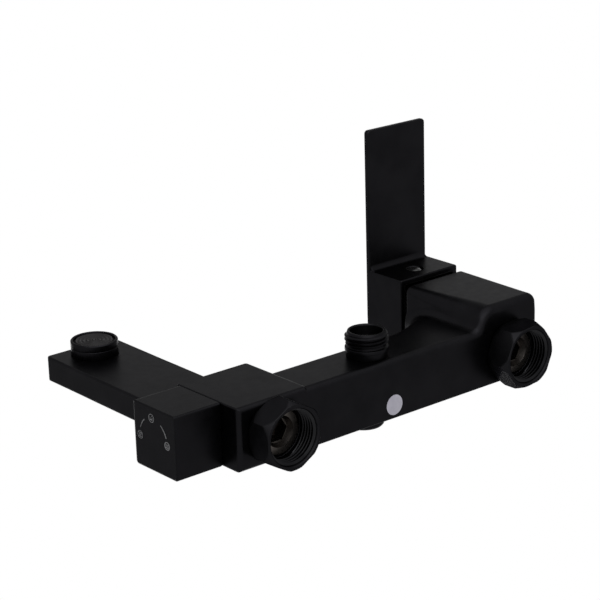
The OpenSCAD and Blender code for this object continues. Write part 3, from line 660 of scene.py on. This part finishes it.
# ---------------------------------------------------------------- hose nipple, riser collar and label
NIPPLE_TIP = LOW - 12.8
NIPPLE_BORE_R, NIPPLE_MOUTH_R = 6.0, 7.8
HOSE_ROOT, HOSE_CREST, HOSE_PITCH = 9.35, 10.42, 1.81
nipple_profile = [(8.94, -5.0), (8.94, LOW - 0.06), (9.92, LOW - 0.06), (9.92, LOW - 3.2),
                  (10.37, LOW - 3.4), (10.4, LOW - 3.44), (10.4, LOW - 4.9), (9.2, LOW - 5.2),
                  (9.2, NIPPLE_TIP + 6.6), (HOSE_ROOT, NIPPLE_TIP + 6.4), (HOSE_ROOT, NIPPLE_TIP + 1.0),
                  (9.0, NIPPLE_TIP), (8.1, NIPPLE_TIP), (NIPPLE_MOUTH_R, NIPPLE_TIP + 0.5),
                  (NIPPLE_MOUTH_R, LOW - 0.9), (NIPPLE_BORE_R, LOW - 0.9), (NIPPLE_BORE_R, -5.0)]
nipple = turned("hose_nipple_turned", soften(nipple_profile, 0.25), "z", (*HOSE_AT, 0), BLACK, 96, 50)
place(nipple, "body", "black_finish", "hose_nipple")
ridge = thread("hose_thread", "z", (*HOSE_AT, 0), NIPPLE_TIP + 1.3, NIPPLE_TIP + 6.2, HOSE_ROOT,
               HOSE_CREST, HOSE_PITCH, BLACK)
place(ridge, "body", "black_finish")

COLLAR_BORE_R, RISER_ROOT, RISER_CREST, RISER_PITCH = 7.5, 7.62, 7.1, 1.34
collar_profile = [(COLLAR_BORE_R, 11.0), (8.94, 11.0), (8.94, TOP - 0.1), (9.8, TOP - 0.1),
                  (9.8, TOP + 3.3), (9.0, TOP + 4.3), (8.4, TOP + 4.3), (COLLAR_BORE_R, TOP + 3.4)]
collar = turned("riser_collar_turned", soften(collar_profile, 0.5), "z", (*RISER_AT, 0), BLACK, 96, 50)
place(collar, "body", "black_finish", "riser_collar")
ridge = thread("riser_thread", "z", (*RISER_AT, 0), TOP - 3.6, TOP + 3.0, RISER_ROOT, RISER_CREST,
               RISER_PITCH, BLACK_THREAD)
place(ridge, "body", "black_finish")

LABEL_R, LABEL_AT = 5.0, (-2, BACK, 8.2)
label_profile = [(0, -0.02), (LABEL_R, -0.02), (LABEL_R, 0.13), (0, 0.13)]
label = turned("label", soften(label_profile, 0.03), "y", LABEL_AT, PAPER, 64)
place(label, "body", "blank_label", "label_disc")

# ---------------------------------------------------------------- aerator; heights run up from its rim
RIM = -7.3
AERATOR_TOP = 13.0
ring_profile = [(9.62, AERATOR_TOP), (10.78, AERATOR_TOP), (10.78, 7.75), (11.84, 7.75), (11.84, 3.7),
                (11.74, 3.6), (11.74, 3.4), (11.88, 3.3), (11.88, 0.45), (11.45, 0), (10.9, 0),
                (10.5, 0.4), (10.4, 1.6), (9.62, 1.6)]
ring = turned("aerator_ring", soften(ring_profile, 0.14, 2), "z", (*AERATOR_AT, RIM), BLACK, 96, 60)
place(ring, "body", "black_finish", "aerator_housing")
CREST, GROOVE = 0.35, 1.35
RIB_RADII = (8.9, 8.0, 6.95, 6.1, 5.05, 4.2, 3.15, 2.3, 1.25)
face_profile = [(0, AERATOR_TOP), (9.5, AERATOR_TOP), (9.5, 1.1)]
for k, r in enumerate(RIB_RADII):
    if k % 2 == 0:
        face_profile += [(r + 0.18, CREST), (r, CREST + 0.06)]
    else:
        face_profile += [(r + 0.12, GROOVE), (r - 0.06, GROOVE)]
face_profile += [(0.9, GROOVE), (0.7, CREST), (0, CREST)]
insert = turned("aerator_face", face_profile, "z", (*AERATOR_AT, RIM), GREY, 96, 50)
place(insert, "body", "grey_plastic", "aerator_insert")

# ---------------------------------------------------------------- materials of the CAD pieces that stay
KEPT = {
    "aerator_gasket": RUBBER, "hose_seal": RUBBER, "check_valve": BLACK_PLASTIC,
    "inlet_nipple_left": NICKEL, "inlet_nipple_right": NICKEL, "inlet_seals": RUBBER,
    "cartridge_shell": WHITE, "cartridge_base": GREY_DARK, "port_seals": RUBBER,
    "fixed_disc": CERAMIC, "moving_disc": CERAMIC, "disc_carrier": GREY_DARK,
    "cartridge_rotor": WHITE, "pivot_pin": STEEL, "lever_stem": BRASS,
    "cartridge_nut": BLACK, "cover_collar": BLACK, "set_screw": STEEL,
    "diverter_sleeve": BRASS, "diverter_seals": RUBBER, "diverter_plug": WHITE,
    "diverter_stem": BRASS, "diverter_nut": BRASS, "knob_adaptor": WHITE,
}
for node, material in KEPT.items():
    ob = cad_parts[node]
    ob.data.materials.clear()
    ob.data.materials.append(material)

# ---------------------------------------------------------------- floor, in metres from here on
FLOOR_Z, FLOOR_HALF = -0.104, 2.5
bm = bmesh.new()
bmesh.ops.create_grid(bm, x_segments=24, y_segments=24, size=FLOOR_HALF)
bmesh.ops.translate(bm, verts=bm.verts, vec=(0, 0, FLOOR_Z))
me = bpy.data.meshes.new("floor")
bm.to_mesh(me)
bm.free()
floor = bpy.data.objects.new("floor", me)
bpy.context.scene.collection.objects.link(floor)

# The floor is pale from above and clear from below, because the photo looks up at the object.
m, nt, p = new_material("pale_floor")
nt.links.new(ramp(nt, noise(nt, 3, 3), (0.9, 0.9, 0.9), (0.93, 0.93, 0.93)), p.inputs["Base Color"])
p.inputs["Roughness"].default_value = 0.8
p.inputs["Specular IOR Level"].default_value = 0.1
geometry = nt.nodes.new("ShaderNodeNewGeometry")
clear = nt.nodes.new("ShaderNodeBsdfTransparent")
mix = nt.nodes.new("ShaderNodeMixShader")
nt.links.new(geometry.outputs["Backfacing"], mix.inputs["Fac"])
nt.links.new(p.outputs["BSDF"], mix.inputs[1])
nt.links.new(clear.outputs["BSDF"], mix.inputs[2])
nt.links.new(mix.outputs["Shader"], nt.nodes["Material Output"].inputs["Surface"])
me.materials.append(m)
floor.visible_glossy = False
floor.visible_diffuse = False
floor.visible_shadow = False

# ---------------------------------------------------------------- world, white to the eye and grey as light
world = bpy.data.worlds.new("studio")
bpy.context.scene.world = world
world.use_nodes = True
nt = world.node_tree
background = nt.nodes["Background"]
path = nt.nodes.new("ShaderNodeLightPath")
camera_or_glossy = nt.nodes.new("ShaderNodeMath")
seen = nt.nodes.new("ShaderNodeMath")
camera_or_glossy.operation = "ADD"
seen.operation = "ADD"
seen.use_clamp = True
nt.links.new(path.outputs["Is Camera Ray"], camera_or_glossy.inputs[0])
nt.links.new(path.outputs["Is Glossy Ray"], camera_or_glossy.inputs[1])
nt.links.new(camera_or_glossy.outputs[0], seen.inputs[0])
nt.links.new(path.outputs["Is Transmission Ray"], seen.inputs[1])
tone = nt.nodes.new("ShaderNodeMix")
tone.data_type = "RGBA"
tone.inputs[6].default_value = (0.42, 0.42, 0.43, 1)
tone.inputs[7].default_value = (1, 1, 1, 1)
nt.links.new(seen.outputs[0], tone.inputs[0])
nt.links.new(tone.outputs[2], background.inputs["Color"])
background.inputs["Strength"].default_value = 1


# ---------------------------------------------------------------- lamps and camera
def lamp(name, at, target, size, power):
    data = bpy.data.lights.new(name, "AREA")
    data.energy = power
    data.shape = "RECTANGLE"
    data.size = size
    data.size_y = size
    ob = bpy.data.objects.new(name, data)
    ob.location = at
    ob.rotation_euler = (Vector(target) - Vector(at)).to_track_quat("-Z", "Y").to_euler()
    bpy.context.scene.collection.objects.link(ob)


MIDDLE = (0.0, -0.06, -0.01)
lamp("below", (-0.1, 0.35, -1.0), MIDDLE, 1.6, 11)
lamp("above_front", (0.35, -0.75, 0.95), MIDDLE, 1.8, 18)
lamp("wall_side", (-0.55, 0.75, -0.65), MIDDLE, 1.4, 8)

# The photo is upside down: its camera looks up from the wall side with the object's top below.
CAMERA_AT = (-0.588635, 0.627976, -0.332717)
CAMERA_RIGHT = (0.76479597, 0.64368499, 0.02750928)
CAMERA_UP = (0.22238698, -0.22367403, -0.94895414)
CAMERA_BACK = (-0.60467442, 0.73187401, -0.31421216)
camera = bpy.data.cameras.new("camera")
camera.lens = 118.68
camera.sensor_width = 36
camera.clip_start = 0.01
view = bpy.data.objects.new("camera", camera)
axes = [Vector(v) for v in (CAMERA_RIGHT, CAMERA_UP, CAMERA_BACK)]
rotation = Matrix(axes).transposed().to_4x4()
view.matrix_world = Matrix.Translation(CAMERA_AT) @ rotation
bpy.context.scene.collection.objects.link(view)
bpy.context.scene.camera = view
bpy.context.scene.view_settings.view_transform = "Standard"
